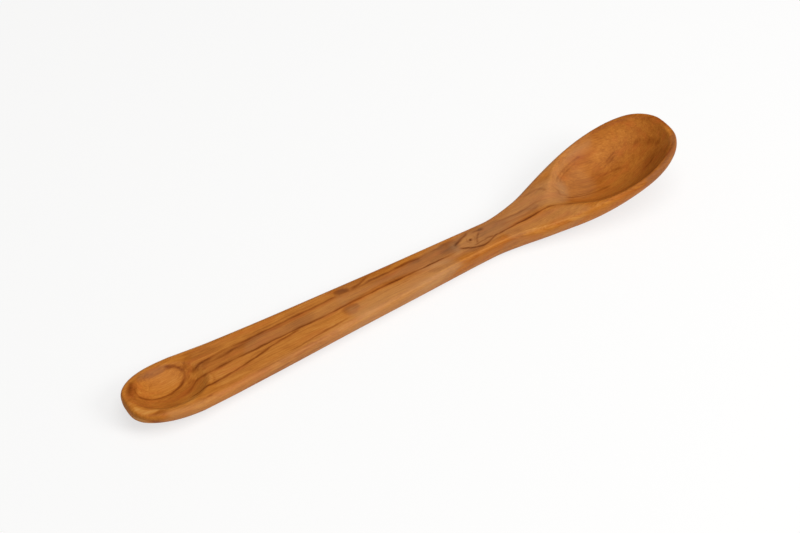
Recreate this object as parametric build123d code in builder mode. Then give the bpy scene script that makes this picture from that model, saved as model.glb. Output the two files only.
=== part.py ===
from build123d import *
from math import sqrt
import os

# A double-ended wooden spoon, carved from one piece of olive wood, in millimetres.
# Origin under the middle of its length, on the surface it lies on. The handle's end,
# with a small tasting scoop, points to -X, the bowl to +X, and Z is up.

# plan view
spoon_length = 300.0
handle_end_width = 33.8
handle_end_round = 30.5    # from the very end to where the handle is widest
neck_width = 16.3
neck_from_tip = 105.0      # where the handle stops tapering and the bowl begins to widen
bowl_width = 45.2
bowl_round = 30.4          # from the bowl's widest place to its tip

# side view
handle_thickness = 9.2     # at the thinnest place, behind the small scoop
thinnest_place = 50.0
neck_thickness = 11.6
end_lift = 3.3             # how far the top turns up at the handle's end
end_under_lift = 5.8       # how far the underside rises to the same end
rim_start_from_tip = 84.0  # where the top leaves the handle's line and climbs as the rim
rim_bend_length = 8.0      # over which it bends upward
rim_tip_height = 29.4      # where the rim's line would reach the tip
belly_end_from_tip = 63.0  # where the underside leaves the table
belly_bend_length = 30.0   # over which it bends upward
tip_under_height = 22.0    # where the underside's line would reach the tip

# cross section
edge_round = 2.2           # soft upper edge of the handle
rim_round = 1.4            # soft outer edge of the bowl's rim
sole_depth = 0.3           # planed off the underside, so that the spoon lies flat
end_nose_length = 3.0      # the thickness closes to a round nose over this length
tip_nose_length = 14.0
nose_blunt = 0.3           # the round ends stop this much short of a point

# bowl hollow, as a round-nosed tool leaves it
bowl_depth = 11.0
bowl_opening_width = 40.6
bowl_opening_from_tip = 73.5
bowl_rim_at_tip = 2.2
bowl_axis_climb = 9.0      # the tool's axis climbs more than the rim, so the tip stays thicker

# small scoop in the handle's end
scoop_depth = 5.5
scoop_opening_width = 25.6
scoop_opening_start = 4.5
scoop_opening_length = 36.0

rim_ease = 0.6             # soft inner edge of both hollows
overrun = 4.0              # the cut for the sole runs past the wood by this much

# shape of the sections, as shares of the width or the thickness
handle_flat_share = 0.5    # flat strip of the underside along the handle
belly_flat_share = 0.1     # and under the bowl
end_nose_share = 0.55      # height of the round nose
tip_nose_share = 0.68

# how fast the outlines turn
end_power_share = 2.5      # handle's end in plan, 2 is an ellipse
tip_power_share = 2.0
taper_power_share = 0.92   # under 1 the handle narrows early
swell_power_share = 0.84   # under 1 the bowl widens early
neck_power_share = 1.4     # over 1 the handle thickens late
lift_power_share = 1.3

# hollow profiles: place along the opening and depth there, a negative depth is above the wood
bowl_profile_shares = (
    (-0.06, -0.08),
    (0.0, 0.0),
    (0.12, 0.26),
    (0.26, 0.72),
    (0.48, 1.0),
    (0.74, 0.8),
    (0.9, 0.44),
    (1.0, 0.0),
    (1.02, -0.16),
)
scoop_profile_shares = (
    (-0.03, -0.2),
    (0.0, 0.0),
    (0.1, 0.42),
    (0.26, 0.84),
    (0.5, 1.0),
    (0.72, 0.86),
    (0.88, 0.46),
    (1.0, 0.0),
    (1.06, -0.2),
)

# places of the cross sections in each stretch, closer together towards the round ends
end_station_shares = (0.0, 0.04, 0.12, 0.28, 0.5, 0.75)
handle_station_shares = (0.0, 0.12, 0.3, 0.5, 0.7, 0.88)
swell_station_shares = (0.0, 0.14, 0.28, 0.42, 0.56, 0.7, 0.85)
tip_station_shares = (1.0, 0.75, 0.5, 0.28, 0.12, 0.04, 0.0)

# places along the spoon are measured from the handle's end
neck_place = spoon_length - neck_from_tip
widest_place = spoon_length - bowl_round
rim_start = spoon_length - rim_start_from_tip
belly_end = spoon_length - belly_end_from_tip


def ease(t):
    """Smooth step from 0 to 1."""
    t = min(max(t, 0), 1)
    return t * t * (3 - 2 * t)


def round_end(distance, reach, power):
    """Share of the full size at a distance from a rounded end."""
    left = 1 - min((distance + nose_blunt) / (reach + nose_blunt), 1)
    return (1 - left**power) ** (1 / power)


def climb(distance, bend, run, height):
    """Height gained along a bend that turns into a straight climb."""
    slope = height / (run - bend / 2)
    if distance <= 0:
        return 0
    if distance < bend:
        return slope * distance**2 / (2 * bend)
    return slope * (distance - bend / 2)


def half_width(x):
    if x < handle_end_round:
        return handle_end_width / 2 * round_end(x, handle_end_round, end_power_share)
    if x < neck_place:
        along = (x - handle_end_round) / (neck_place - handle_end_round)
        return handle_end_width / 2 + (neck_width - handle_end_width) / 2 * along**taper_power_share
    along = min((x - neck_place) / (widest_place - neck_place), 1)
    width = neck_width + (bowl_width - neck_width) * ease(along**swell_power_share)
    return width / 2 * round_end(spoon_length - x, bowl_round, tip_power_share)


def top_height(x):
    along = min(max(x - thinnest_place, 0) / (neck_place - thinnest_place), 1)
    height = handle_thickness + (neck_thickness - handle_thickness) * along**neck_power_share
    height += end_lift * max(1 - x / thinnest_place, 0) ** lift_power_share
    rim_height = rim_tip_height - neck_thickness
    return height + climb(x - rim_start, rim_bend_length, rim_start_from_tip, rim_height)


def under_height(x):
    end_rise = end_under_lift * max(1 - x / thinnest_place, 0) ** 2
    return end_rise + climb(x - belly_end, belly_bend_length, belly_end_from_tip, tip_under_height)


def section(x):
    """Cross section: flat top, soft upper edges, full round sides, flat strip below."""
    half = half_width(x)
    top = top_height(x)
    under = under_height(x) - sole_depth
    if x < spoon_length / 2:
        nose = under + end_nose_share * (top - under)
        closing = round_end(x, end_nose_length, 2)
    else:
        nose = under + tip_nose_share * (top - under)
        closing = round_end(spoon_length - x, tip_nose_length, 2)
    top = nose + (top - nose) * closing
    under = nose + (under - nose) * closing
    belly = ease((x - neck_place) / (belly_end - neck_place))
    corner = min(edge_round + (rim_round - edge_round) * belly, (top - under) / 3, half / 2)
    side = top - corner
    flat = half * (handle_flat_share + (belly_flat_share - handle_flat_share) * belly)
    with BuildSketch(Plane.YZ.offset(x - spoon_length / 2)) as outline:
        with BuildLine():
            Line((corner - half, top), (half - corner, top))
            EllipticalCenterArc((half - corner, side), corner, corner, 0, arc_size=90)
            EllipticalCenterArc((flat, side), half - flat, side - under, 270, arc_size=90)
            Line((flat, under), (-flat, under))
            EllipticalCenterArc((-flat, side), half - flat, side - under, 180, arc_size=90)
            EllipticalCenterArc((corner - half, side), corner, corner, 90, arc_size=90)
        make_face()
    return outline.sketch


def stations():
    places = [share * handle_end_round for share in end_station_shares]
    places += [handle_end_round + share * (neck_place - handle_end_round) for share in handle_station_shares]
    places += [neck_place + share * (widest_place - neck_place) for share in swell_station_shares]
    places += [spoon_length - share * bowl_round for share in tip_station_shares]
    return places


def gouge(start, length, depth, width, axis_climb, profile_shares):
    """Half section of a round-nosed tool, and the axis above the opening that it turns about."""
    radius = (depth**2 + (width / 2) ** 2) / (2 * depth)
    rise = top_height(start + length) - top_height(start)
    reach = sqrt(length**2 + rise**2)
    opening = Plane(
        origin=(start - spoon_length / 2, 0, top_height(start)),
        x_dir=(length, 0, rise),
        z_dir=(0, -1, 0),
    )

    def axis_point(along):
        return along, radius - depth + axis_climb * (along / reach - 0.5)

    points = [(place * reach, -share * depth) for place, share in profile_shares]
    with BuildSketch(opening) as profile:
        with BuildLine():
            Spline(*points)
            Polyline(points[-1], axis_point(points[-1][0]), axis_point(points[0][0]), points[0])
        make_face()
    first = opening.from_local_coords(axis_point(0))
    last = opening.from_local_coords(axis_point(reach))
    axis = Axis(first, last - first)
    # turned over the axis, so that the hollow's surface has no seam
    return profile.sketch.rotate(axis, 180), axis


sections = [section(x) for x in stations()]
bowl_tool, bowl_axis = gouge(
    spoon_length - bowl_opening_from_tip,
    bowl_opening_from_tip - bowl_rim_at_tip,
    bowl_depth,
    bowl_opening_width,
    bowl_axis_climb,
    bowl_profile_shares,
)
scoop_tool, scoop_axis = gouge(
    scoop_opening_start,
    scoop_opening_length,
    scoop_depth,
    scoop_opening_width,
    0,
    scoop_profile_shares,
)

with BuildPart() as spoon:
    loft(sections=sections)
    # the sole, flat from behind the scoop to under the bowl
    Box(
        spoon_length + overrun,
        bowl_width + overrun,
        overrun,
        align=(Align.CENTER, Align.CENTER, Align.MAX),
        mode=Mode.SUBTRACT,
    )
    # the two hollows, with soft inner edges
    for tool, axis in ((bowl_tool, bowl_axis), (scoop_tool, scoop_axis)):
        revolve(tool, axis=axis, mode=Mode.SUBTRACT)
        hollow = spoon.faces().filter_by(GeomType.REVOLUTION).sort_by_distance(axis.position)[0]
        fillet(hollow.edges(), radius=rim_ease)

os.makedirs("parts", exist_ok=True)
spoon.part.label = "spoon"
export_step(spoon.part, "parts/spoon.step")
print(f"solids {len(spoon.solids())}, valid {spoon.part.is_valid}, volume {spoon.part.volume:.0f} mm3")
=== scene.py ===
import math
import bpy
import numpy as np
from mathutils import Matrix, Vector


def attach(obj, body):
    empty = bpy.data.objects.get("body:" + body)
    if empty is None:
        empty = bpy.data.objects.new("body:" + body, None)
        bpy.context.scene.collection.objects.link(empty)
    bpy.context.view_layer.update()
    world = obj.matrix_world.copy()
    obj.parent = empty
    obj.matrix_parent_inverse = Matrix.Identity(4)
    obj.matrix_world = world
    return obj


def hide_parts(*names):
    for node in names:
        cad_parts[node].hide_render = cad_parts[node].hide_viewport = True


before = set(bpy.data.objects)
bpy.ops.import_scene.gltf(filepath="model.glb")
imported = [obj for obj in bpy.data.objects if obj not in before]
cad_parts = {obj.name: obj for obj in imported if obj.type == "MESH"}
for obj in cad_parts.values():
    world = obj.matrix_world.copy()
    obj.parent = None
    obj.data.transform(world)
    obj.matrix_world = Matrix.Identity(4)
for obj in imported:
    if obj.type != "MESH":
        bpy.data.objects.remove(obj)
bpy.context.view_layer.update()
print("frame: nodes", sorted(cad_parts))

mm = 0.001  # all sizes below are in millimetres, Blender works in metres

# the spoon, x measured from the handle's end: the CAD part's sizes, some refined a little
spoonSizes = {
    "length": 300.0,
    "endWidth": 34.0,
    "endRound": 30.5,          # from the handle's end to its widest place
    "neckWidth": 16.1,
    "neckPlace": 195.0,
    "bowlWidth": 44.8,
    "widestPlace": 269.6,
    "tipRound": 31.2,
    "endPower": 2.5,           # how full the round ends are, 2 is an ellipse
    "tipPower": 2.27,
    "taperPower": 0.92,
    "neckEase": 0.07,          # how softly the taper ends, as a share of its length
    "swellPower": 0.825,
    # the middle isn't quite straight: place along the spoon, and how far it strays sideways
    "stray": ((0, 0), (20, 0.05), (40, 0.25), (75, 0.05), (112, 0.1), (150, 0), (190, 0.1),
              (212, -0.12), (235, 0.05), (262, 0.2), (279, 0), (291, 0.2), (300, 0.25)),
    # nor are the ends quite square: how far along a place there sits per mm off the middle
    "endAskew": 0.06,
    "tipAskew": 0.04,
    "askewReach": 30.0,
    "handleThickness": 9.2,
    "thinnestPlace": 50.0,
    "neckThickness": 11.6,
    "neckPower": 1.4,
    "endLift": 3.3,
    "liftPower": 1.3,
    "endUnderLift": 5.8,
    "rimStart": 214.5,
    "rimBend": 8.0,
    "rimRun": 85.5,
    "rimHeight": 17.5,
    "bellyEnd": 236.0,
    "bellyBend": 30.0,
    "bellyRun": 64.0,
    "bellyHeight": 22.0,
    "edgeAcross": 2.7,         # the handle's upper edge is worn soft, across and down
    "edgeDown": 2.3,
    "crispEdge": 2.1,          # and crisper from the neck on
    "crispFrom": 125.0,
    "crispTo": 165.0,
    "endCrisp": 1.2,           # and at the handle's end
    "soleDepth": 0.3,
    "handleFlat": 0.5,         # flat strip of the underside as a share of the width
    "bellyFlat": 0.1,
    "endFlat": 0.3,            # the handle's end is rounder below
    "endFlatTo": 26.0,
    "endNose": 2.3,            # the thickness closes over this length above, and below
    "endNoseBelow": 4.6,
    "tipNose": 14.0,
    "endNoseHeight": 0.6,
    "tipNoseHeight": 0.72,
    "noseBlunt": 0.3,          # the round ends are this much blunter than their formula
    "bluntReach": 1.2,         # gained over this length
    "rimEase": 0.9,            # how softly the hollows meet the top
    # the hollows: opening along the top, and depth profiles as shares of length and depth
    "bowl": {
        "start": 226.5,
        "length": 71.3,
        "depth": 11.0,
        "width": 40.6,
        "axisClimb": 9.0,
        "profile": ((-0.06, -0.08), (0.0, 0.0), (0.12, 0.26), (0.26, 0.72), (0.48, 1.0),
                    (0.74, 0.8), (0.9, 0.44), (1.0, 0.0), (1.02, -0.16)),
    },
    "scoop": {
        "start": 4.5,
        "length": 36.0,
        "depth": 5.5,
        "width": 25.6,
        "axisClimb": 0.0,
        "profile": ((-0.03, -0.2), (0.0, 0.0), (0.1, 0.42), (0.26, 0.84), (0.5, 1.0),
                    (0.72, 0.86), (0.88, 0.46), (1.0, 0.0), (1.06, -0.2)),
    },
    # how fine the surface is worked out: rows along the spoon, columns round it
    "grid": {
        "endRows": 72,
        "tipRows": 84,
        # where the step between rows changes, besides at the round ends, and the steps
        "rowStops": (47.0, 172.0, 203.0, 218.0),
        "rowSteps": (0.6, 1.4, 0.5, 1.0, 0.5),
        "topColumns": 113,
        "cornerColumns": 9,
        "sideColumns": 26,
        "soleColumns": 9,
        "curvePoints": 400,    # of a spline
        "floorSteps": 10,      # that refine a hollow's floor
    },
}


# smooth step: 3 t squared minus 2 t cubed
def ease(t):
    t = np.clip(t, 0, 1)
    return t * t * (3 - 2 * t)


# share of the full size near a round end: (1 - (1 - distance/reach)^power)^(1/power), where the
# distance first gains the bluntness
def roundEnd(distance, reach, power):
    blunt = spoonSizes["noseBlunt"]
    blunted = distance + blunt * ease(distance / spoonSizes["bluntReach"])
    left = 1 - np.clip(blunted / (reach + blunt), 0, 1)
    return (1 - left**power) ** (1 / power)


# a parabola over the bend, then a straight line that gains the height by the end of the run
def climb(distance, bend, run, height):
    slope = height / (run - bend / 2)
    inBend = slope * np.clip(distance, 0, bend) ** 2 / (2 * bend)
    return inBend + slope * np.maximum(distance - bend, 0)


# the lower of two values, their crossing rounded by a parabola of the given width
def softMin(a, b, width):
    mix = np.maximum(width - np.abs(a - b), 0) / width
    return np.minimum(a, b) - mix * mix * width / 4


# half the width: a taper from the handle's end to the neck plus an eased swell into the bowl,
# times a round end at both tips
def halfWidth(x):
    s = spoonSizes
    taper = np.maximum((x - s["endRound"]) / (s["neckPlace"] - s["endRound"]), 0)
    taper = softMin(taper, 1, s["neckEase"])
    swell = np.clip((x - s["neckPlace"]) / (s["widestPlace"] - s["neckPlace"]), 0, 1)
    width = s["endWidth"] + (s["neckWidth"] - s["endWidth"]) * taper ** s["taperPower"]
    width = width + (s["bowlWidth"] - s["neckWidth"]) * ease(swell ** s["swellPower"])
    closing = roundEnd(x, s["endRound"], s["endPower"])
    return width / 2 * closing * roundEnd(s["length"] - x, s["tipRound"], s["tipPower"])


# height of the flat top: a thickness that grows towards the neck, plus a lift at the handle's
# end, plus the climb of the bowl's rim
def topHeight(x):
    s = spoonSizes
    along = np.clip((x - s["thinnestPlace"]) / (s["neckPlace"] - s["thinnestPlace"]), 0, 1)
    growth = (s["neckThickness"] - s["handleThickness"]) * along ** s["neckPower"]
    lift = s["endLift"] * np.clip(1 - x / s["thinnestPlace"], 0, 1) ** s["liftPower"]
    rim = climb(x - s["rimStart"], s["rimBend"], s["rimRun"], s["rimHeight"])
    return s["handleThickness"] + growth + lift + rim


# height of the underside before the sole is planed: a parabola up to the handle's end, plus the
# climb under the bowl
def underHeight(x):
    s = spoonSizes
    endRise = s["endUnderLift"] * np.clip(1 - x / s["thinnestPlace"], 0, 1) ** 2
    belly = climb(x - s["bellyEnd"], s["bellyBend"], s["bellyRun"], s["bellyHeight"])
    return endRise + belly - s["soleDepth"]


# natural cubic spline through points, over the length of its chords, read at even places
def splineThrough(points, count):
    points = np.array(points, float)
    t = np.concatenate([[0], np.cumsum(np.linalg.norm(np.diff(points, axis=0), axis=1))])
    h = np.diff(t)
    inner = np.arange(1, len(t) - 1)
    matrix = np.eye(len(t))
    matrix[inner, inner - 1] = h[:-1]
    matrix[inner, inner] = 2 * (h[:-1] + h[1:])
    matrix[inner, inner + 1] = h[1:]
    slopes = np.diff(points, axis=0) / h[:, None]
    right = np.zeros_like(points)
    right[1:-1] = 6 * np.diff(slopes, axis=0)
    bend = np.linalg.solve(matrix, right)
    u = np.linspace(0, t[-1], count)
    i = np.clip(np.searchsorted(t, u, side="right") - 1, 0, len(h) - 1)
    a = ((t[i + 1] - u) / h[i])[:, None]
    b = 1 - a
    curl = ((a**3 - a) * bend[i] + (b**3 - b) * bend[i + 1]) * (h[i] ** 2 / 6)[:, None]
    return a * points[i] + b * points[i + 1] + curl


# height over a place in plan of a hollow's profile turned about a slanting axis: the place along
# the axis is refined until the circle there passes through the point
def hollowFloor(x, y, hollow):
    start, length, depth = hollow["start"], hollow["length"], hollow["depth"]
    radius = (depth**2 + (hollow["width"] / 2) ** 2) / (2 * depth)
    startHeight = float(topHeight(np.array(start)))
    rise = float(topHeight(np.array(start + length))) - startHeight
    reach = math.hypot(length, rise)
    along = np.array([length, rise]) / reach
    up = np.array([-along[1], along[0]])
    low = np.array([start, startHeight]) + up * (radius - depth - hollow["axisClimb"] / 2)
    axis = along * reach + up * hollow["axisClimb"]
    axis = axis / np.linalg.norm(axis)
    profile = [(place * reach, -share * depth) for place, share in hollow["profile"]]
    profile = splineThrough(profile, spoonSizes["grid"]["curvePoints"])
    profile = np.array([start, startHeight]) + profile[:, :1] * along + profile[:, 1:] * up - low
    places = profile @ axis
    radii = profile @ np.array([axis[1], -axis[0]])
    z = topHeight(x) + 0 * y
    for step in range(spoonSizes["grid"]["floorSteps"]):
        place = (x - low[0]) * axis[0] + (z - low[1]) * axis[1]
        turned = np.interp(place, places, radii)
        drop = np.sqrt(np.maximum(turned**2 - y**2, 0))
        z = low[1] + ((x - low[0]) * axis[1] - drop) / axis[0]
    missed = (place < places[0]) | (place > places[-1]) | (turned <= np.abs(y))
    return np.where(missed, spoonSizes["length"], z)


# places of the rows: spaced like a sphere's circles at both ends, even in each stretch between
def rowPlaces():
    s, g = spoonSizes, spoonSizes["grid"]
    endAngles = np.linspace(0, math.pi / 2, g["endRows"] + 1)[1:-1]
    tipAngles = np.linspace(math.pi / 2, 0, g["tipRows"] + 1)[:-1]
    stops = (s["endRound"], *g["rowStops"], s["length"] - s["tipRound"])
    stretches = zip(stops[:-1], stops[1:], g["rowSteps"])
    between = [np.linspace(a, b, round((b - a) / step), endpoint=False) for a, b, step in stretches]
    endPlaces = s["endRound"] * (1 - np.cos(endAngles))
    tipPlaces = s["length"] - s["tipRound"] * (1 - np.cos(tipAngles))
    return np.concatenate([endPlaces, *between, tipPlaces])


# how far the middle strays sideways: a spline through the named places
def sideStray(x):
    curve = splineThrough(spoonSizes["stray"], spoonSizes["grid"]["curvePoints"])
    return np.interp(x, curve[:, 0], curve[:, 1])


# how far a place near the ends moves along the spoon: a share of its distance from the middle,
# eased out over the reach
def askew(x, y):
    s = spoonSizes
    atEnd = s["endAskew"] * ease(1 - x / s["askewReach"])
    atTip = s["tipAskew"] * ease(1 - (s["length"] - x) / s["askewReach"])
    return (atEnd + atTip) * y


# the whole skin as rows of closed loops: flat top, quarter ellipses at the upper edges and down
# the sides, flat strip below; then the top is lowered to the floors of the two hollows, and the
# moved ends are fitted back into the length. An edge takes at most half of the half width and a
# third of the thickness
def spoonSurface():
    s, g = spoonSizes, spoonSizes["grid"]
    x = rowPlaces()[:, None]
    half = halfWidth(x)
    top = topHeight(x)
    under = underHeight(x)
    share = np.where(x < s["length"] / 2, s["endNoseHeight"], s["tipNoseHeight"])
    nose = under + share * (top - under)
    tipClosing = roundEnd(s["length"] - x, s["tipNose"], 2)
    top = nose + (top - nose) * tipClosing * roundEnd(x, s["endNose"], 2)
    under = nose + (under - nose) * tipClosing * roundEnd(x, s["endNoseBelow"], 2)
    crisp = ease((x - s["crispFrom"]) / (s["crispTo"] - s["crispFrom"]))
    crisp = np.maximum(crisp, s["endCrisp"] * ease(1 - x / s["endRound"]))
    across = np.minimum(s["edgeAcross"] + (s["crispEdge"] - s["edgeAcross"]) * crisp, half / 2)
    down = np.minimum(s["edgeDown"] + (s["crispEdge"] - s["edgeDown"]) * crisp, (top - under) / 3)
    belly = ease((x - s["neckPlace"]) / (s["bellyEnd"] - s["neckPlace"]))
    flatShare = s["endFlat"] + (s["handleFlat"] - s["endFlat"]) * ease(x / s["endFlatTo"])
    flat = half * (flatShare + (s["bellyFlat"] - flatShare) * belly)

    spread = np.linspace(-1, 1, g["topColumns"])[None, :]
    turn = np.linspace(0, math.pi / 2, g["cornerColumns"] + 1)[None, 1:]
    fall = np.linspace(0, math.pi / 2, g["sideColumns"] + 1)[None, 1:]
    sole = np.linspace(1, -1, g["soleColumns"])[None, 1:-1]
    edgeY = half - across + across * np.sin(turn)
    edgeZ = top - down + down * np.cos(turn)
    sideY = flat + (half - flat) * np.cos(fall)
    sideZ = under + (top - down - under) * (1 - np.sin(fall))
    y = np.concatenate([(half - across) * spread, edgeY, sideY, flat * sole,
                        -sideY[:, ::-1], -edgeY[:, ::-1]], axis=1)
    z = np.concatenate([top + 0 * spread, edgeZ, sideZ, under + 0 * sole,
                        sideZ[:, ::-1], edgeZ[:, ::-1]], axis=1)
    x = x + 0 * y
    cut = z.copy()
    for hollow in (s["bowl"], s["scoop"]):
        cut = softMin(cut, hollowFloor(x, y, hollow), s["rimEase"])
    column = np.arange(y.shape[1])
    isUpper = column < g["topColumns"] + g["cornerColumns"]
    isUpper = isUpper | (column >= y.shape[1] - g["cornerColumns"])
    isUpper = np.broadcast_to(isUpper, y.shape)
    z = np.where(isUpper, cut, z)
    z = np.maximum(z, 0)  # the planed sole
    moved = x + askew(x, y)
    moved = s["length"] * (moved - moved.min()) / (moved.max() - moved.min())
    return moved, y + sideStray(x), z, isUpper


# outside of the bowl's near rim, a darker and paler strip
nearRimStrip = ((270, -21), (279, -19.6), (286, -16.8), (292, -12.6), (297, -6.6), (302, -6),
                (300, -20), (284, -26), (268, -27))

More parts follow.
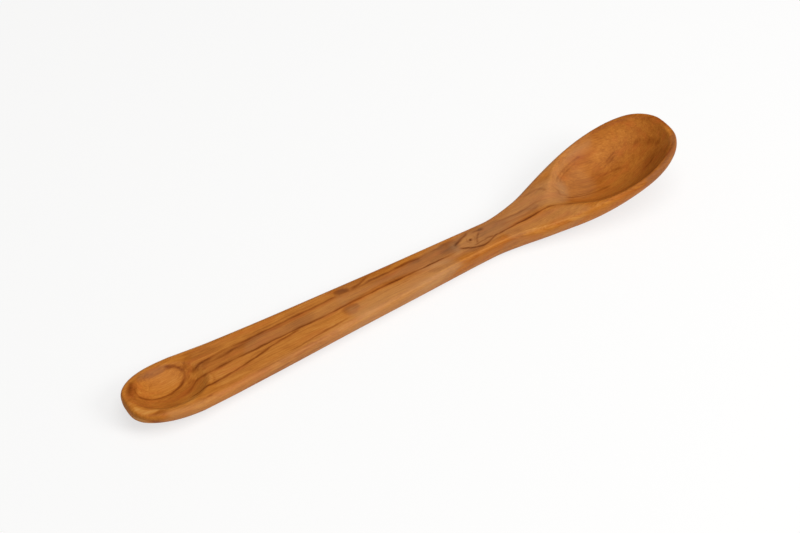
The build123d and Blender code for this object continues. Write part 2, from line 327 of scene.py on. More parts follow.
# what this piece of wood shows, and the light and shade painted on it, in mm on the plan: x from
# the handle's end, y across. dark is how much darker the wood gets, below 0 lighter, and in the last
# group how much paler; width or soft is how far a line or a border spreads; fade is the share of a
# line over which it starts and ends; depth is how far down the side it still shows
grainAndPaintedLight = {
    "veins": {
        "stripeNear": dict(dark=0.83, width=0.5, fade=0.11, at=(
            (22, -5.1), (26, -4.5), (29.5, -3.7), (32, -2.7), (34, -1.3), (36, -0.6), (38, -1.2),
            (40.5, -1.8), (46, -1.4), (55, -1.1), (70, -1.0), (85, -1.0), (100, -1.2), (120, -1.0),
            (140, -1.1), (155, -1.4), (166, -1.7), (172, -1.9), (176, -1.9), (179, -2.1))),
        "wedgeNear": dict(dark=0.82, width=0.5, fade=0.06, at=(
            (25, -8.6), (29, -8.9), (33, -8.8), (37, -8.7), (41, -8.4), (45, -7.8), (50, -7.2), (55, -6.6),
            (60, -5.8), (65, -4.8), (70, -3.9), (75, -3), (80, -2.5), (89, -1.7))),
        "stripeFar": dict(dark=0.6, width=0.55, fade=0.05, at=(
            (34.8, 4.9), (37, 4.5), (39.4, 4.8), (43, 5.7), (48, 6.2), (53, 6.5), (62, 6.3), (75, 6.3),
            (90, 6.3), (105, 6.2), (113, 6.3))),
        "stripeInner": dict(dark=0.4, width=0.6, fade=0.25, at=(
            (38.4, 3.8), (42, 3.8), (47, 3.7), (52, 3.7), (57, 4.4), (61, 5.8))),
        "crotchLine": dict(dark=0.2, width=0.5, fade=0.25, at=(
            (34, 6.6), (35, 5), (36.8, 3.4), (39, 2), (42, 0.8))),
        "wedgeEnd": dict(dark=0.35, width=0.45, fade=0.2, at=(
            (40.2, -1.8), (41.4, -3.2), (41.6, -5), (40.8, -6.8), (39.6, -8))),
        "crotchRed": dict(dark=0.28, width=0.6, fade=0.3, at=(
            (33.6, 6), (34.4, 8.2), (35, 10.3))),
        "stripeFarRight": dict(dark=0.45, width=0.5, fade=0.12, at=(
            (126, 6.2), (135, 5.8), (142, 5.6), (150, 5.5), (158, 5.1), (165, 5.3), (171, 4.6))),
        "blotchTail": dict(dark=0.6, width=0.6, fade=0.3, at=(
            (118, 6.4), (122, 6.5), (126, 7.3), (129.6, 8.3), (133, 9.3))),
        "stripeBowl": dict(dark=0.95, width=0.5, fade=0.12, at=(
            (195, -3.4), (199, -2.9), (204, -2.6), (211, -2.4), (217, -2.1), (223, -2.3), (227.6, -3.2),
            (231, -5))),
        "stripeBowlEnd": dict(dark=0.4, width=0.5, fade=0.3, at=(
            (226, -2.9), (230, -4.6), (233, -6.6), (237, -9), (242, -11.2), (248, -13.5), (254, -15.6))),
        "coreTop": dict(dark=0.4, width=0.5, fade=0.2, at=(
            (197, 4.3), (204, 3.8), (212, 3.4), (219, 3.7), (226, 3.2), (230, 1.7))),
        "coreLow": dict(dark=0.3, width=0.5, fade=0.3, at=(
            (198, 0.8), (206, 0.9), (214, 0.7), (222, 1.1), (227, 1.3))),
        "knotTop": dict(dark=0.75, width=0.6, fade=0.2, depth=3, at=(
            (175.5, 0.5), (176.3, 2), (178.5, 3.3), (181, 4.3), (183.4, 5.2), (185.6, 5.9))),
        "knotTopRight": dict(dark=0.6, width=0.7, fade=0.3, depth=3, at=(
            (186, 4.4), (188.6, 4.5), (191.2, 4), (194, 3.6))),
        "knotLow": dict(dark=0.85, width=0.5, fade=0.1, depth=3, at=(
            (176, -0.4), (177.6, -1.4), (179.4, -2.4), (181.4, -3.6), (184.6, -4.7), (188, -5.2),
            (190.4, -4.9), (192.4, -4.2), (194.8, -3.4), (198.6, -2.7))),
        "knotInner": dict(dark=0.65, width=0.45, fade=0.2, depth=3, at=(
            (182.6, -2.9), (185.2, -2.8), (187.8, -2.6), (190, -2.6), (191.6, -2.3), (193, -2.6),
            (196, -3))),
        "knotArc": dict(dark=0.65, width=0.6, fade=0.2, depth=3, at=(
            (185.3, -2.9), (186.4, -1.2), (187.5, 0.6), (188.8, 2), (190, 3.6))),
        "knotArcInner": dict(dark=0.3, width=0.35, fade=0.3, depth=3, at=(
            (184.2, -0.9), (185.8, -0.3), (186.6, 1), (186.4, 2.6), (185.6, 3.8))),
        "knotArcLeft": dict(dark=0.4, width=0.4, fade=0.3, depth=3, at=(
            (184.2, -0.8), (183, -0.1), (182.4, 1.1), (182.7, 2.4), (183.6, 3.4))),
        "knotEye": dict(dark=0.95, width=0.6, fade=0.25, depth=3, at=(
            (183.7, 0.3), (184.1, 1.1), (184.6, 2.1))),
        "ovalNear": dict(dark=0.6, width=0.55, fade=0.2, depth=2, at=(
            (8.4, 7.3), (7.7, 5.3), (8.0, 3.3), (9.4, 1.5), (11.8, 0.4), (15, -0.1), (19.2, -0.2),
            (23, 0.2), (26.5, 1.2), (29.6, 2.7), (31.9, 4.5), (33.3, 6.2))),
        "ovalFar": dict(dark=0.5, width=0.6, fade=0.2, depth=2, at=(
            (33.6, 5.4), (32.8, 7.6), (31, 9.6), (28.4, 11.1), (25, 12.1))),
        "outerLeft": dict(dark=0.28, width=0.8, fade=0.3, depth=2, at=(
            (9.6, 10.5), (7.2, 8.5), (5.6, 6.1), (5.1, 3.7), (5.8, 1.5), (7.4, -0.3))),
        "ringEdge": dict(dark=0.25, width=0.4, fade=0.2, depth=2, at=(
            (3.4, -4.1), (5.4, -6.5), (8.4, -9.1), (12.4, -11.3), (16, -12.2), (20, -12.7), (23.6, -12.3),
            (27, -11.1), (30, -9.8))),
        "shortMark": dict(dark=0.5, width=0.4, fade=0.2, at=(
            (29.8, -14.9), (32, -14.7), (34, -14.6), (36, -14.8))),
        "fineA": dict(dark=0.6, width=0.4, fade=0.15, at=(
            (76, -10.8), (84, -10.5), (91, -9.7), (98, -9.1), (105, -8.7), (112, -8.1))),
        "fineB": dict(dark=0.35, width=0.45, fade=0.15, at=(
            (52, -14), (62, -13.2), (70, -12.8), (80, -12.3), (92, -12.2), (104, -11.8))),
        "fineC": dict(dark=0.3, width=0.4, fade=0.2, at=(
            (66, -13.8), (76, -13.6), (88, -13.3), (98, -13.1))),
        "fineD": dict(dark=0.25, width=0.4, fade=0.25, at=(
            (118, -4.8), (130, -4.2), (142, -4), (152, -3.9))),
        "fineFar": dict(dark=0.3, width=0.4, fade=0.2, at=(
            (58, 8.8), (70, 8.4), (84, 8.2), (98, 8), (108, 8.2))),
        "arcFarA": dict(dark=0.36, width=0.38, fade=0.12, depth=2, at=(
            (240, 8.2), (241, 9.5), (243.2, 11.3), (246.6, 13.2), (251, 14.7), (256.4, 15.7), (261, 16.2))),
        "arcFarB": dict(dark=0.34, width=0.34, fade=0.15, depth=2, at=(
            (241, 7.8), (242.8, 9.3), (245.4, 11), (248.8, 12.7), (252.6, 13.8), (257, 14.8))),
        "arcEnd": dict(dark=0.35, width=0.45, fade=0.2, depth=2, at=(
            (235.6, 6.4), (237.6, 4.4), (237.4, 2.3), (239.8, 0.5), (239.2, -1.1))),
        "arcNear": dict(dark=0.6, width=0.42, fade=0.18, depth=2, at=(
            (237.4, 0.8), (239, -0.6), (242, -1.8), (247, -2.6), (253, -3.5), (259, -4.3), (264, -4.7))),
        "arcNearB": dict(dark=0.35, width=0.4, fade=0.25, depth=2, at=(
            (240.8, 2.3), (242.8, 0.2), (246.4, -1.2), (251, -1.8), (256, -2))),
        "arcWall": dict(dark=0.3, width=0.55, fade=0.2, depth=2, at=(
            (235, -3.7), (240, -6.6), (245, -8.8), (251, -10.8), (256.8, -12.6), (260.5, -13.6),
            (264.2, -15.2), (267, -17.2))),
        "rimCrease": dict(dark=0.55, width=0.45, fade=0.2, depth=2, at=(
            (262, -14.2), (266, -16.6), (269.5, -18.8), (273, -19), (278, -18.4), (283, -17.3),
            (287.2, -15.7), (290.8, -13.7), (294.4, -10.6))),
        "wallLine": dict(dark=0.4, width=0.45, fade=0.3, depth=2, at=(
            (275, -9.8), (279, -10), (283, -9.5), (287, -8.1))),
        "streakA": dict(dark=0.4, width=0.4, fade=0.3, depth=2, at=(
            (267, 7.5), (270.4, 8), (273.4, 8.8), (276.4, 10.2))),
        "streakB": dict(dark=0.35, width=0.4, fade=0.3, depth=2, at=(
            (267.8, 7), (271.4, 6.8), (275.4, 7.8))),
        "streakC": dict(dark=0.4, width=0.55, fade=0.3, depth=2, at=(
            (261, 3.6), (266, 2.5), (270, 1.6), (273, 0.2), (276.4, -0.5))),
        "farInner": dict(dark=0.5, width=0.6, fade=0.3, depth=2, at=(
            (266, 20.2), (272, 19.9), (278, 18.9), (284, 16.9), (289, 14))),
        "tipDash": dict(dark=0.1, width=0.7, fade=0.3, depth=2, at=(
            (295.8, 5.8), (297.2, 4.4), (298, 2.8))),
        "neckArc": dict(dark=0.3, width=0.6, fade=0.25, at=(
            (219, 10.2), (225, 10.3), (229.6, 9.2), (231.4, 6.6), (230.4, 4))),
    },
    "softLines": {
        # painted highlight: a thin lighter line along the crisp near edge of the neck, where the lamp
        # glints
        "arrisPaintedHighlight": dict(dark=-0.6, width=0.3, fade=0.2, depth=1.6, at=(
            (150, -8.4), (165, -8), (180, -7.6), (193, -7.5), (204, -8), (213, -9.8), (221, -12.3),
            (229, -15.2), (236, -17.5), (243, -19.5), (250, -20.8))),
        "scoopNearStreak": dict(dark=0.8, width=1.0, fade=0.35, at=(
            (16.4, -12.4), (13.4, -12.4), (10, -12.2), (7.4, -11.8), (4.6, -10.9))),
        "rimDark": dict(dark=0.3, width=1.4, fade=0.2, depth=9, at=(
            (240, 14.5), (247, 17.4), (255, 20), (263, 21.6), (270, 22), (279, 20.8), (286, 18),
            (292, 13.8), (296.5, 8.6), (299.2, 3), (299.4, 0), (299.2, -3), (296.5, -8.6), (292, -13.8),
            (286, -18), (279, -20.8), (270, -22), (258, -20.4), (248, -17.6), (240, -14.4))),
        "rimDarkTip": dict(dark=0.7, width=1.8, fade=0.3, depth=9, at=(
            (262, 21.6), (270, 22), (279, 20.8), (286, 18), (292, 13.8), (296.5, 8.6), (299.2, 3),
            (299.4, 0), (299.2, -3), (296.5, -8.6), (292, -13.8), (286, -18), (279, -20.8), (268, -22),
            (254, -20))),
    },
    "patches": {
        "stripeLeft": dict(dark=0.4, soft=0.8, at=(
            (41, -1.5), (50, -1.1), (70, -1), (90, -1.1), (112, -1), (130, -1), (150, -1.2), (170, -1.7),
            (178, -0.7), (178, 3.8), (165, 5), (150, 5.4), (130, 6), (112, 6.2), (90, 6.3), (70, 6.3),
            (58, 6), (46, 5.8), (41, 5), (39.4, 2.4))),
        "stripeRight": dict(dark=0.25, soft=0.9, at=(
            (190, -2.5), (205, -1.9), (218, -1.6), (226, -0.1), (230, 1.9), (226, 3.6), (214, 4.2),
            (200, 4.2), (190, 4.2))),
        "stripeRightCore": dict(dark=0.4, soft=0.7, at=(
            (196, 1.6), (206, 1.6), (216, 1.3), (224, 1.7), (222, 3.6), (212, 3.8), (200, 3.8))),
        "knotBlot": dict(dark=0.35, soft=0.8, depth=3, at=(
            (189, 2), (190, 4.4), (194, 4.8), (201, 4), (200, 2.4), (195, 1.8), (191, 0.8))),
        "knotLeft": dict(dark=0.35, soft=0.9, depth=4, at=(
            (166, 2.8), (172, 2.8), (176, 2.2), (177, 0.8), (175, -0.4), (168, 0.2))),
        "knotUnder": dict(dark=0.35, soft=0.8, depth=4, at=(
            (177, -2), (180, -3.2), (183, -4.6), (187, -5.6), (184, -6.6), (179, -5), (176.4, -3.2))),
        "ringLeft": dict(dark=0.2, soft=1.2, depth=2, at=(
            (2.8, 1), (4.4, -3.6), (8, -7), (11, -6), (9, -2), (6.4, 1))),
        "stripeBrown": dict(dark=0.16, soft=0.8, at=(
            (116, 0), (130, 0), (150, -0.4), (168, -0.8), (176, 0), (174, 3.4), (160, 4.4), (140, 5.4),
            (124, 5.6))),
        "farNeck": dict(dark=0.22, soft=1.6, at=(
            (196, 5), (212, 5.6), (224, 7.6), (236, 10.8), (242, 16), (226, 15), (210, 10), (196, 8.6))),
        # painted light: the near side's broad rounding drawn lighter, as the lamps light it
        "sidePaintedLight": dict(dark=-0.12, soft=4.0, at=(
            (14, -15.5), (30, -17), (60, -15), (100, -12.4), (140, -10.2), (180, -9.6), (172, -16),
            (140, -19), (100, -22), (50, -25), (10, -24))),
        "rimNear": dict(dark=0.45, soft=1.6, at=nearRimStrip),
        "knotFar": dict(dark=0.4, soft=1.0, depth=4, at=(
            (168, 1.6), (175, 1.8), (180, 4.2), (186, 5), (192, 4.6), (192, 6.4), (180, 6.4), (168, 5))),
        "scoopRing": dict(dark=0.4, soft=0.6, depth=2, at=(
            (2.5, 0.8), (4.2, -3.8), (7, -6.9), (11, -9.6), (16, -11), (22, -11), (28, -9.6), (33, -8.8),
            (37, -8.6), (38.8, -5.6), (40, -2.6), (37, -1.2), (34.4, 0), (33.6, 3), (33, 8), (28, 11.8),
            (20, 13), (12, 11.5), (6, 8.9), (3, 4.8))),
        "crotch": dict(dark=-0.12, soft=0.9, at=(
            (33.6, 1), (36, 0.4), (40, -0.4), (44, 0.2), (44, 1.6), (38, 2.2), (34.6, 3.6))),
        "scoopLeftDark": dict(dark=0.72, soft=1.5, depth=2, at=(
            (8.4, 10.6), (9.4, 8.5), (8, 6.3), (6.6, 3.2), (4.4, 3.6), (5, 7.8))),
        "scoopOval": dict(dark=-0.42, soft=0.6, depth=2, at=(
            (8.4, 5.3), (8.8, 3.1), (11, 1.5), (14, 0.6), (18, 0.3), (22, 0.7), (26, 1.8), (30, 4),
            (32.6, 6.4), (31.5, 8.9), (27.5, 10.8), (22, 10.3), (16, 9.9), (11, 8.3))),
        # paler wood, and painted light that lifts the shade on the scoop's near wall right of the oval
        "ringRightPaleAndLit": dict(dark=-0.34, soft=1.4, depth=2, at=(
            (21, -6.5), (22, -10), (28, -10.4), (33, -9.4), (37, -8.8), (40, -5.2), (40.6, -2.4),
            (37, -1.6), (33, -3.4), (28, -5))),
        # painted light: lifts the shade that falls on the scoop's near wall
        "ringNearPaintedLight": dict(dark=-0.35, soft=1.0, depth=2, at=(
            (9, -8.4), (15, -9.4), (22, -9.4), (29, -8.8), (29, -12), (20, -13), (12.6, -12.2))),
        "endPale": dict(dark=-0.75, soft=0.8, at=(
            (2.4, -3.8), (4.8, -6.2), (8, -8.6), (11, -10.4), (9.6, -11.2), (6, -10.6), (3.4, -8.6),
            (2, -6))),
        "crotchBrown": dict(dark=0.4, soft=0.9, depth=2, at=(
            (34.4, 5.4), (35, 7), (37, 6.2), (41, 5.4), (46, 5.2), (44, 3.8), (39.4, 3.2), (36, 3.6))),
        "scoopFarOlive": dict(dark=0.34, soft=1.0, depth=2, at=(
            (12, 9.7), (18, 10.4), (25, 10.8), (26.4, 11.9), (20, 13.1), (13, 11.7))),
        "wedgePale": dict(dark=-0.25, soft=0.8, at=(
            (41, -3), (50, -2.5), (66, -2.2), (60, -4.2), (50, -6.2), (42, -7), (40, -5))),
        "farOlive": dict(dark=0.38, soft=1.6, at=(
            (34, 8.6), (40, 7.8), (48, 8), (54, 9.2), (50, 11.9), (42, 13.3), (36, 12.5))),
        "farBlotch": dict(dark=1.2, soft=0.8, at=(
            (112, 8), (113.4, 6.4), (116, 5.9), (119, 6.2), (118.4, 7.8), (116, 8.9), (113.4, 8.9))),
        "farEdgeDark": dict(dark=0.4, soft=1.0, at=(
            (110, 9.4), (114, 8), (122, 7.6), (132, 8), (143, 7.4), (146, 9), (132, 11), (112, 12.6))),
        # darker near edge of the neck: darker wood, and painted shade that dims the lamp's highlight there
        "neckNearWoodAndShade": dict(dark=0.4, soft=2.0, at=(
            (164, -3.4), (176, -4), (186, -5.6), (198, -4.6), (208, -6), (204, -12), (190, -14),
            (164, -14))),
        "knotAround": dict(dark=0.34, soft=1.2, depth=4, at=(
            (160, -1.4), (176, -1.6), (181, -3.6), (188, -5.2), (196, -3.6), (204, -2.6), (204, 4),
            (190, 5.2), (178, 5.6), (160, 5.4))),
        "knotPale": dict(dark=-0.2, soft=0.6, depth=3, at=(
            (176.6, 0), (179, -1.6), (183, -2.4), (186.4, -1), (187.4, 2), (186, 4), (182, 3.8),
            (178.6, 2.4))),
        "pinkPatch": dict(dark=0.78, soft=0.7, at=(
            (110, -2.5), (114, -1.9), (117.5, -3.2), (117, -6.1), (113.5, -7.8), (110.5, -6.2))),
        "stripeDarkA": dict(dark=0.42, soft=0.9, at=(
            (53, 4.2), (60, 3.3), (70, 3.7), (79, 4.4), (86, 5.3), (78, 6.1), (66, 6.1), (58, 5.8))),
        "stripeDarkB": dict(dark=0.55, soft=0.8, at=(
            (144, 4.8), (150, 4), (158, 4.2), (157, 5.6), (150, 6), (145, 5.8))),
        "stripeDarkC": dict(dark=0.2, soft=1.0, at=(
            (86, 0.5), (94, 0.7), (98, 3), (94, 5), (86, 4.8), (82, 2.8))),
        "brownShort": dict(dark=0.55, soft=0.7, at=(
            (156, -4.2), (160, -4.8), (163.4, -6.4), (162, -7.2), (157, -6))),
        "stripePale": dict(dark=-0.25, soft=1.2, at=(
            (96, -0.1), (110, -0.1), (124, 0.2), (134, 0.3), (130, 3.3), (116, 4), (100, 3.8))),
        "neckBrown": dict(dark=0.12, soft=4.0, at=(
            (172, -5.6), (200, -5.6), (225, -8.7), (236, -5.6), (240, 7.4), (232, 13.3), (212, 9.3),
            (190, 8.3), (172, 8.3))),
        # painted shade in the bowl's hollow, with somewhat darker wood there
        "bowlWoodAndShade": dict(dark=0.28, soft=3.0, depth=2, at=(
            (232, 0), (238, -10), (248, -16), (262, -19.5), (276, -19), (290, -12.6), (296.4, 0), (292, 11),
            (280, 18), (266, 20), (250, 17), (239, 10))),
        # the bowl's near wall, which faces away from the lamps: painted shade, and darker wood
        "bowlNearWallWoodAndShade": dict(dark=0.3, soft=2.2, depth=2, at=(
            (232, -6), (240, -8), (250, -11), (262, -14), (272, -12), (279, -8), (285, -6), (290, -8),
            (290, -14), (282, -19), (270, -20.6), (258, -20), (246, -17), (238, -12.4))),
        # painted light: lifts part of the shade on the bowl's near wall
        "bowlNearPaintedLight": dict(dark=-0.12, soft=2.0, depth=2, at=(
            (244, -9), (256, -11.2), (268, -12.4), (280, -11.6), (288, -8), (293, -5), (291, -12),
            (283, -16.4), (270, -17.8), (256, -16.2), (246, -13))),
        "bowlNeckEnd": dict(dark=0.25, soft=3.0, depth=2, at=(
            (234, -0.7), (240, -6.6), (250, -4.6), (262, -0.7), (266, 7.4), (260, 15.3), (250, 14.3),
            (242, 10.3), (236, 5.4))),
        "bowlPale": dict(dark=-0.22, soft=1.6, depth=2, at=(
            (254, 7.8), (257, 6.2), (262, 6.6), (268, 8.9), (275, 10.3), (283, 11.3), (286, 12.8),
            (281, 15.7), (272, 16.5), (264, 15.3), (256, 12.9), (254, 10.3))),
        # the bowl's tip wall, turned away from the lamps: painted shade, and browner wood
        "bowlTipBrownAndShade": dict(dark=0.14, soft=2, depth=2, at=(
            (278, -4), (286, 2), (289, 9), (293, 8), (296, 3), (296, -6), (291, -12), (284, -14))),
        "blotA": dict(dark=0.5, soft=0.8, depth=2, at=(
            (283.6, 4.8), (285.8, 4.2), (287.6, 5.2), (285.8, 6.4))),
        "blotB": dict(dark=0.45, soft=0.9, depth=2, at=(
            (288.8, 0.3), (290.8, -1.7), (292.4, -0.1), (290.8, 1.9))),
        "blotC": dict(dark=0.4, soft=0.8, depth=2, at=(
            (289.6, -4), (291.4, -4.6), (292, -3.2), (290.6, -2.7))),
    },
    # where the wood turns from orange to a paler brown, and where a sheen is painted as a paler brown
    "pale": {
        "handleField": dict(dark=0.15, soft=2.0, at=(
            (40, -12), (60, -12), (90, -10), (112, -8), (112, 8), (90, 10), (60, 12), (40, 13))),
        "stripeLeft": dict(dark=0.35, soft=1.5, at=(
            (60, -0.7), (80, -0.7), (112, -1), (150, -1.2), (176, -1.7), (176, 3.3), (150, 4.4), (112, 4.9),
            (80, 4.4), (62, 2.8))),
        "stripeMiddle": dict(dark=0.25, soft=1.5, at=(
            (112, -1), (150, -1.2), (172, -1.7), (172, 3.3), (150, 4.8), (112, 5.6))),
        "nearField": dict(dark=0.75, soft=2.5, at=(
            (112, -3.7), (130, -2.2), (150, -2.7), (168, -3.7), (172, -8.7), (150, -10.2), (128, -9.7),
            (112, -8.7))),
        "neck": dict(dark=0.85, soft=3.0, at=(
            (172, -3.7), (185, -5.6), (200, -3.7), (226, -1.7), (234, -4.6), (241, 1.3), (243, 9.3),
            (234, 12.3), (226, 12.3), (212, 8.3), (190, 6.4), (176, 5.4))),
        "neckField": dict(dark=0.55, soft=2.0, at=(
            (200, -3.6), (215, -3), (228, -5), (236, -10), (240, -16), (228, -14), (214, -10),
            (200, -7.6))),
        "neckFar": dict(dark=0.6, soft=2.0, at=(
            (196, 6), (212, 9), (226, 12.8), (240, 16), (248, 19), (240, 22), (225, 18), (208, 13),
            (196, 11))),
        "bowlNeck": dict(dark=0.4, soft=3, depth=2, at=(
            (238, 0), (244, -4), (254, -3), (258, 4), (256, 12), (248, 12), (240, 8))),
        # painted sheen: the far wall of the bowl drawn paler, where it reflects the lamp
        "bowlFarWallSheen": dict(dark=0.95, soft=3.0, depth=2, at=(
            (242, 11), (250, 15.2), (258, 17), (267, 18.4), (260, 19.6), (246, 16), (240, 13))),
        # painted sheen on the scoop's far wall
        "scoopFarSheen": dict(dark=0.35, soft=1.2, depth=2, at=(
            (12, 9.7), (18, 10.4), (25, 10.8), (27, 12), (20, 13.2), (13, 11.8))),
        # painted sheen: the near side's broad rounding drawn paler, as a soft highlight
        "nearSideSheen": dict(dark=1.0, soft=4.0, at=(
            (14, -14.6), (30, -16), (60, -14), (100, -11.2), (140, -9), (164, -9.4), (178, -12), (160, -15),
            (140, -16.6), (100, -20), (50, -24), (10, -22))),
        "rimNear": dict(dark=0.45, soft=1.6, at=nearRimStrip),
    },
}


tiny = 1e-9  # keeps a division from meeting zero

# how marks are drawn, in mm
drawing = {
    "curvePoints": 120,        # of a mark's spline
    # a line is worked out to this many widths plus this much, a patch to this many borders
    "reach": (4.0, 1.0),
    "borderReach": (2.0, 1.0),
    "sideDepth": 30.0,         # a mark without a depth of its own shows down to here
    "swells": (3.7, 1.6),      # a line's width and strength swell in two waves as long as this
    "secondSwell": 0.6,        # share of the second
    "widthSwell": 0.16,
    "strength": 0.88,
    "strengthSwell": 0.1,
}

# how the layers lie, in mm for each mm below the top
layers = {
    "driftAlong": 0.9,         # of a drawn line, down the sides
    "driftAcross": 0.3,
    "ringInHollow": 0.9,       # of the rings, down in the hollows and down the sides
    "ringOnSide": 1.1,
    # short waves of the drawn lines: height, then the lengths over which they come. The third
    # number of the ripple is an angle: how far a longer wave shifts it, in radians
    "sway": (0.3, 1.7, 9.0),
    "ripple": (0.09, 3.1, 1.2, 11.0),
    "shiver": (0.07, 1.1),
}


# gap between plan places and a curve, and how far along the curve the nearest place is
def nearCurve(x, y, curve):
    a, b = curve[:-1], curve[1:]
    edge = b - a
    toX = x[:, None] - a[None, :, 0]
    toY = y[:, None] - a[None, :, 1]
    share = (toX * edge[:, 0] + toY * edge[:, 1]) / np.maximum((edge**2).sum(1), tiny)
    share = np.clip(share, 0, 1)
    gap = np.hypot(toX - share * edge[:, 0], toY - share * edge[:, 1])
    nearest = gap.argmin(1)
    rows = np.arange(len(x))
    along = (nearest + share[rows, nearest]) / len(a)
    return gap[rows, nearest], along


# one where a plan place lies inside a closed curve: an odd number of edges to its right
def insideCurve(x, y, curve):
    a, b = curve, np.roll(curve, -1, axis=0)
    spans = (a[None, :, 1] > y[:, None]) != (b[None, :, 1] > y[:, None])
    rise = np.where(b[:, 1] == a[:, 1], tiny, b[:, 1] - a[:, 1])
    crossing = a[:, 0] + (y[:, None] - a[:, 1]) * (b[:, 0] - a[:, 0]) / rise
    return (spans & (x[:, None] < crossing)).sum(1) % 2 == 1


# one mark for every vertex. A line is exp(-(gap/width)^2), its width and strength swelling in
# slow waves along it and easing out at both ends; a patch is one inside a closed curve, eased
# over its soft border. Both fade with the depth below the top
def drawMark(x, y, lean, mark):
    d = drawing
    isLine = "width" in mark
    points = list(mark["at"]) + ([] if isLine else [mark["at"][0]])
    curve = splineThrough(points, d["curvePoints"])
    times, plus = d["reach"] if isLine else d["borderReach"]
    reach = times * (mark["width"] if isLine else mark["soft"]) + plus
    low, high = curve.min(0) - reach, curve.max(0) + reach
    depth = mark.get("depth", d["sideDepth"])
    near = (x > low[0]) & (x < high[0]) & (y > low[1]) & (y < high[1]) & (lean < depth)
    gap, along = nearCurve(x[near], y[near], curve)
    if isLine:
        run = along * np.linalg.norm(np.diff(curve, axis=0), axis=1).sum()
        wave = np.sin(run / d["swells"][0] + curve[0, 1])
        wave = wave + d["secondSwell"] * np.sin(run / d["swells"][1] + curve[0, 0])
        width = mark["width"] * (1 + d["widthSwell"] * wave)
        ends = ease(along / mark["fade"]) * ease((1 - along) / mark["fade"])
        strength = d["strength"] + d["strengthSwell"] * wave
        shown = strength * ends * np.exp(-((gap / width) ** 2))
    else:
        signed = np.where(insideCurve(x[near], y[near], curve), gap, -gap)
        shown = ease(0.5 + signed / (2 * mark["soft"]))
    field = np.zeros_like(x)
    field[near] = mark["dark"] * shown * (1 - ease(lean[near] / depth))
    return field


# the grain, and the painted light and shade, at every vertex. Below the top edge the layers lean,
# so a line drifts along and across as it goes down; a few short waves keep drawn lines from being
# too smooth. ring is how deep in the log a place lies, which makes nested arcs in the hollows
def grainAndPaintedLightFields(x, y, z, isUpper):
    lean = np.where(isUpper, 0, np.maximum(topHeight(x) - z, 0)).ravel()
    depth = np.where(isUpper, np.maximum(topHeight(x) - z, 0), 0).ravel()
    x, y = x.ravel(), y.ravel()
    sway, swayAcross, swayAlong = layers["sway"]
    ripple, rippleLength, turns, turnLength = layers["ripple"]
    shiver, shiverLength = layers["shiver"]
    px = x + layers["driftAlong"] * lean + sway * np.sin(y / swayAcross + x / swayAlong)
    py = y + layers["driftAcross"] * lean + shiver * np.sin(x / shiverLength + y)
    py = py + ripple * np.sin(x / rippleLength + turns * np.sin(x / turnLength))
    fields = {"ring": py + layers["ringInHollow"] * depth - layers["ringOnSide"] * lean}
    veins = [drawMark(px, py, lean, mark) for mark in grainAndPaintedLight["veins"].values()]
    fields["vein"] = np.max(veins, axis=0)
    toneMarks = [*grainAndPaintedLight["softLines"].values(), *grainAndPaintedLight["patches"].values()]
    fields["tone"] = sum(drawMark(px, py, lean, mark) for mark in toneMarks)
    fields["pale"] = sum(drawMark(px, py, lean, mark) for mark in grainAndPaintedLight["pale"].values())
    return fields


# rows of loops joined by quads, closed at both ends by a fan of triangles round one point
def addSpoonMesh():
    x, y, z, isUpper = spoonSurface()
    rows, columns = x.shape
    half = spoonSizes["length"] / 2
    points = np.stack([x - half, y, z], axis=-1).reshape(-1, 3)
    ends = np.array([points[:columns].mean(0), points[-columns:].mean(0)])
    points = np.concatenate([points, ends]) * mm
    here = np.arange((rows - 1) * columns)
    beside = here - here % columns + (here % columns + 1) % columns
    quads = np.stack([here, here + columns, beside + columns, beside], axis=1)
    ring = np.arange(columns)
    ringNext = (ring + 1) % columns
    lastRow = (rows - 1) * columns
    startPole = np.full(columns, rows * columns)
    startFan = np.stack([ring, ringNext, startPole], axis=1)
    endFan = np.stack([lastRow + ringNext, lastRow + ring, startPole + 1], axis=1)
    mesh = bpy.data.meshes.new("spoonSkin")
    mesh.from_pydata(points.tolist(), [], quads.tolist() + startFan.tolist() + endFan.tolist())
    mesh.polygons.foreach_set("use_smooth", np.ones(len(mesh.polygons), bool))
    for name, field in grainAndPaintedLightFields(x, y, z, isUpper).items():
        field = np.concatenate([field, [field[:columns].mean(), field[-columns:].mean()]])
        layer = mesh.attributes.new(name, "FLOAT", "POINT")
        layer.data.foreach_set("value", field.astype(np.float32))
    mesh.validate()
    piece = bpy.data.objects.new("carvedSpoon", mesh)
    bpy.context.scene.collection.objects.link(piece)
    return piece


# sRGB hex colour to linear red, green, blue and alpha
def hexColour(text):
    values = [int(text[i:i + 2], 16) / 255 for i in (1, 3, 5)]
    return [v / 12.92 if v <= 0.04045 else ((v + 0.055) / 1.055) ** 2.4 for v in values] + [1.0]


# adds a node, sets its properties and colour stops, and fills or links its inputs
def addNode(tree, kind, settings=None, inputs=None, stops=()):
    node = tree.nodes.new("ShaderNode" + kind)
    for name, value in (settings or {}).items():
        setattr(node, name, value)
    for name, value in (inputs or {}).items():
        if isinstance(value, bpy.types.Node):
            value = value.outputs[0]
        if isinstance(value, bpy.types.NodeSocket):
            tree.links.new(value, node.inputs[name])
        else:
            node.inputs[name].default_value = value
    for i, (place, colour) in enumerate(stops):
        ramp = node.color_ramp.elements
        stop = ramp[i] if i < len(ramp) else ramp.new(place)
        stop.position = place
        stop.color = hexColour(colour)
    return node


# an empty material and its node tree
def newMaterial(name):
    material = bpy.data.materials.new(name)
    material.use_nodes = True
    material.node_tree.nodes.clear()
    return material, material.node_tree


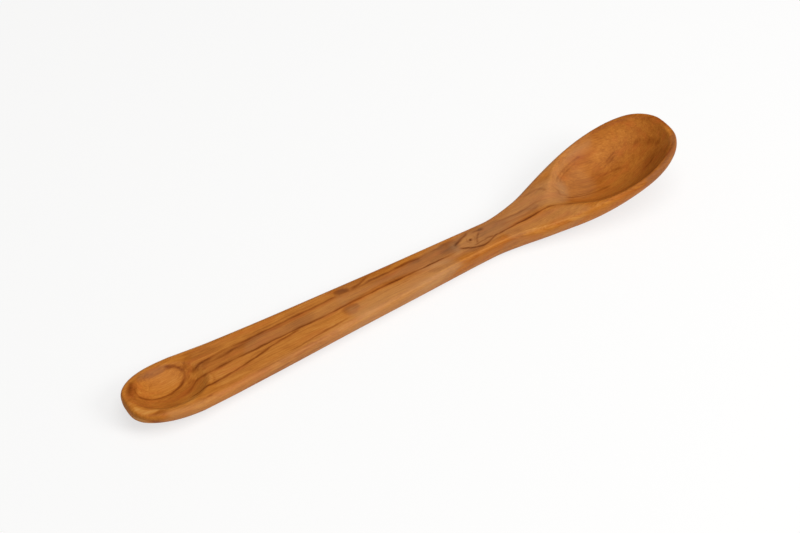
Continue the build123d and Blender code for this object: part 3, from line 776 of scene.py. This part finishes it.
# olive wood, carved, sanded and oiled: warm orange brown with thin dark veins, long fine fibres
# and a low satin sheen
oliveLook = {
    # tone from the darkest vein, 0, to the palest wood, 1
    "colours": ((0.0, "#622b03"), (0.25, "#84420a"), (0.5, "#a25c1c"), (0.72, "#bb7329"),
                (1.0, "#cf9046")),
    "plainTone": 0.7,
    # length along the grain and width across it in mm, how much it changes the tone, 0 for those
    # that have another use, and detail
    "patterns": {
        "band": {"size": (80, 2.4), "share": 0.28, "detail": 2},
        "cloud": {"size": (26, 8), "share": 0.18, "detail": 2},
        "mottle": {"size": (5, 1.3), "share": 0.25, "detail": 2},
        "fibre": {"size": (11, 0.42), "share": 0.36, "detail": 3},
        "speck": {"size": (1.5, 0.6), "share": 0.14, "detail": 1},
        "growth": {"size": (60, 1.2), "share": 0, "detail": 1},
        "ruddy": {"size": (22, 3.2), "share": 0, "detail": 2},
        "pore": {"size": (3, 0.22), "share": 0, "detail": 1},
        "grit": {"size": (6, 0.9), "share": 0, "detail": 2},
    },
    "noiseRoughness": 0.55,
    "growthLines": 0.09,       # how dark the thin growth lines are, and how sharp
    "growthSharpness": 14.0,
    "markShare": 0.34,         # how much a patch of full strength darkens
    "veinShare": 0.6,
    "veinGrit": 0.9,           # how far the grit breaks up a vein, and the rest without it
    "veinBase": 0.52,
    # the pale colour also carries painted sheen on the hollows' far walls and the near side
    "paleColour": "#b8966c",   # where the wood is drawn paler
    "paleShare": 0.3,
    "ruddyColour": "#b45a22",  # slow drifts towards a redder brown
    "ruddyShare": 0.4,
    "ruddyFrom": 0.48,         # noise levels between which they set in
    "ruddyTo": 0.72,
    "roughness": 0.46,
    "roughnessSpread": 0.16,
    "ior": 1.45,
    "specular": 0.1,
    "bumpHeight": 0.05,        # mm
    "bumpStrength": 0.25,
    "poreRelief": 1.5,         # against the fibres'
}


# tone: the plain tone plus every noise, less the growth lines, patches and veins, the patches
# holding painted light and shade too; its colour drifts towards a redder and a paler brown where no
# vein is, the paler in places a painted sheen
def oliveWood():
    look = oliveLook
    material, tree = newMaterial("oliveWoodOiled")
    marks = {}
    for name in ("ring", "vein", "tone", "pale"):
        marks[name] = addNode(tree, "Attribute", {"attribute_name": name}).outputs["Fac"]

    # the grain runs along x, turns with the rings across, and its patterns are sized in mm
    place = addNode(tree, "TexCoord").outputs["Object"]
    apart = addNode(tree, "SeparateXYZ", None, {0: place})
    along = addNode(tree, "Math", {"operation": "MULTIPLY"}, {0: apart.outputs["X"], 1: 1 / mm})
    upward = addNode(tree, "Math", {"operation": "MULTIPLY"}, {0: apart.outputs["Z"], 1: 1 / mm})
    flow = addNode(tree, "CombineXYZ", None, {"X": along, "Y": marks["ring"], "Z": upward})
    grain = {}
    level = look["plainTone"]
    for name, pattern in look["patterns"].items():
        length, width = pattern["size"]
        scale = (1 / length, 1 / width, 1 / width)
        stretched = addNode(tree, "Mapping", None, {"Vector": flow, "Scale": scale})
        grain[name] = addNode(tree, "TexNoise", None, {
            "Vector": stretched, "Scale": 1.0, "Detail": pattern["detail"],
            "Roughness": look["noiseRoughness"]})
        if pattern["share"]:
            centred = addNode(tree, "Math", {"operation": "SUBTRACT"}, {0: grain[name], 1: 0.5})
            level = addNode(tree, "Math", {"operation": "MULTIPLY_ADD"},
                            {0: centred, 1: pattern["share"], 2: level})

    # thin growth lines where their noise crosses its middle
    crossing = addNode(tree, "Math", {"operation": "SUBTRACT"}, {0: grain["growth"], 1: 0.5})
    crossing = addNode(tree, "Math", {"operation": "ABSOLUTE"}, {0: crossing})
    thin = addNode(tree, "Math", {"operation": "MULTIPLY_ADD", "use_clamp": True},
                   {0: crossing, 1: -look["growthSharpness"], 2: 1.0})
    level = addNode(tree, "Math", {"operation": "MULTIPLY_ADD"},
                    {0: thin, 1: -look["growthLines"], 2: level})

    # the drawn patches, painted light and shade among them, and veins, the veins broken up by the grit
    level = addNode(tree, "Math", {"operation": "MULTIPLY_ADD"},
                    {0: marks["tone"], 1: -look["markShare"], 2: level})
    broken = addNode(tree, "Math", {"operation": "MULTIPLY_ADD"},
                     {0: grain["grit"], 1: look["veinGrit"], 2: look["veinBase"]})
    darkVein = addNode(tree, "Math", {"operation": "MULTIPLY", "use_clamp": True},
                       {0: marks["vein"], 1: broken})
    level = addNode(tree, "Math", {"operation": "MULTIPLY_ADD", "use_clamp": True},
                    {0: darkVein, 1: -look["veinShare"], 2: level})

    # the clear wood between the veins drifts towards a redder and a paler brown, the paler one in places a
    # painted sheen
    wood = addNode(tree, "ValToRGB", None, {"Fac": level}, look["colours"])
    clear = addNode(tree, "Math", {"operation": "SUBTRACT", "use_clamp": True}, {0: 1.0, 1: darkVein})
    drift = addNode(tree, "MapRange", None, {
        "Value": grain["ruddy"], "From Min": look["ruddyFrom"], "From Max": look["ruddyTo"],
        "To Min": 0.0, "To Max": look["ruddyShare"]})
    drift = addNode(tree, "Math", {"operation": "MULTIPLY"}, {0: drift, 1: clear})
    wood = addNode(tree, "MixRGB", None, {
        "Fac": drift, "Color1": wood, "Color2": hexColour(look["ruddyColour"])})
    paling = addNode(tree, "Math", {"operation": "MULTIPLY"}, {0: marks["pale"], 1: look["paleShare"]})
    paling = addNode(tree, "Math", {"operation": "MULTIPLY"}, {0: paling, 1: clear})
    wood = addNode(tree, "MixRGB", None, {
        "Fac": paling, "Color1": wood, "Color2": hexColour(look["paleColour"])})

    height = addNode(tree, "Math", {"operation": "MULTIPLY_ADD"},
                     {0: grain["pore"], 1: look["poreRelief"], 2: grain["fibre"]})
    bump = addNode(tree, "Bump", None, {
        "Strength": look["bumpStrength"], "Distance": look["bumpHeight"] * mm, "Height": height})
    spread = look["roughnessSpread"]
    rough = addNode(tree, "Math", {"operation": "MULTIPLY_ADD"},
                    {0: grain["fibre"], 1: spread, 2: look["roughness"] - spread / 2})
    shader = addNode(tree, "BsdfPrincipled", None, {
        "Base Color": wood, "Roughness": rough, "IOR": look["ior"],
        "Specular IOR Level": look["specular"], "Normal": bump})
    addNode(tree, "OutputMaterial", None, {"Surface": shader})
    return material


studioLook = {
    "floorSize": 6.0,             # metres, as the places and sizes of the lamps
    "floorColour": "#f2f1ef",
    "floorGlow": 0.7,             # share of plain white that the camera sees in the floor
    "worldColour": "#ffffff",
    "worldStrength": 0.22,
    "lamps": {
        "keyLamp": {"place": (0.70, -0.95, 0.95), "size": 0.7, "power": 11.0},
        "fillLamp": {"place": (0.15, -0.3, 1.5), "size": 1.4, "power": 15.0},
    },
}

cameraLook = {
    "azimuth": 34.381,            # degrees from -Y towards -X
    "elevation": 44.0,
    "distance": 973.6,            # mm from the aim
    "aim": (0.0, 0.0, 10.14),
    "lens": 95.1,
    "shiftX": -0.0148,
    "shiftY": 0.0063,
    "clipStart": 10.0,            # mm
}


# matte paper: an even pale white that still takes the spoon's soft shadow
def paperMatte():
    look = studioLook
    material, tree = newMaterial("paperMatte")
    seen = addNode(tree, "LightPath").outputs["Is Camera Ray"]
    paper = addNode(tree, "BsdfDiffuse", None, {"Color": hexColour(look["floorColour"])})
    glow = addNode(tree, "Emission", None, {"Color": (1, 1, 1, 1), "Strength": 1.0})
    share = addNode(tree, "Math", {"operation": "MULTIPLY"}, {0: seen, 1: look["floorGlow"]})
    mixed = addNode(tree, "MixShader", None, {0: share, 1: paper, 2: glow})
    addNode(tree, "OutputMaterial", None, {"Surface": mixed})
    return material


# a square on the ground
def addFloor():
    size = studioLook["floorSize"] / 2
    mesh = bpy.data.meshes.new("studioFloor")
    corners = [(-size, -size, 0), (size, -size, 0), (size, size, 0), (-size, size, 0)]
    mesh.from_pydata(corners, [], [(0, 1, 2, 3)])
    mesh.materials.append(paperMatte())
    floor = bpy.data.objects.new("studioFloor", mesh)
    bpy.context.scene.collection.objects.link(floor)
    return floor


# round area lamps that look at the middle of the spoon
def addLamps():
    for name, look in studioLook["lamps"].items():
        lamp = bpy.data.lights.new(name, "AREA")
        lamp.shape = "DISK"
        lamp.size = look["size"]
        lamp.energy = look["power"]
        holder = bpy.data.objects.new(name, lamp)
        holder.location = look["place"]
        holder.rotation_euler = (-Vector(look["place"])).to_track_quat("-Z", "Y").to_euler()
        bpy.context.scene.collection.objects.link(holder)


# white where the camera sees it, dimmer as a light
def setWorld():
    look = studioLook
    world = bpy.data.worlds.new("studioWorld")
    bpy.context.scene.world = world
    world.use_nodes = True
    tree = world.node_tree
    tree.nodes.clear()
    seen = addNode(tree, "LightPath").outputs["Is Camera Ray"]
    strength = addNode(tree, "Math", {"operation": "MULTIPLY_ADD"},
                       {0: seen, 1: 1 - look["worldStrength"], 2: look["worldStrength"]})
    light = addNode(tree, "Background", None, {
        "Color": hexColour(look["worldColour"]), "Strength": strength})
    addNode(tree, "OutputWorld", None, {"Surface": light})


# stands at azimuth and elevation, a distance from the aim, and looks at it
def addCamera():
    look = cameraLook
    azimuth, elevation = math.radians(look["azimuth"]), math.radians(look["elevation"])
    level = math.cos(elevation)
    toCamera = Vector((-math.sin(azimuth) * level, -math.cos(azimuth) * level, math.sin(elevation)))
    camera = bpy.data.cameras.new("photoCamera")
    camera.lens = look["lens"]
    camera.shift_x = look["shiftX"]
    camera.shift_y = look["shiftY"]
    camera.clip_start = look["clipStart"] * mm
    holder = bpy.data.objects.new("photoCamera", camera)
    holder.location = (Vector(look["aim"]) + toCamera * look["distance"]) * mm
    holder.rotation_euler = (-toCamera).to_track_quat("-Z", "Y").to_euler()
    bpy.context.scene.collection.objects.link(holder)
    bpy.context.scene.camera = holder


spoon = addSpoonMesh()
print("spoon: vertices", len(spoon.data.vertices), "faces", len(spoon.data.polygons))
spoon.data.materials.append(oliveWood())
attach(spoon, "root")
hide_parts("spoon")
print("material: oiled olive wood on", spoon.name)

addFloor()
addLamps()
setWorld()
addCamera()
bpy.context.scene.view_settings.view_transform = "Standard"
print("studio: floor, lamps, world and camera")
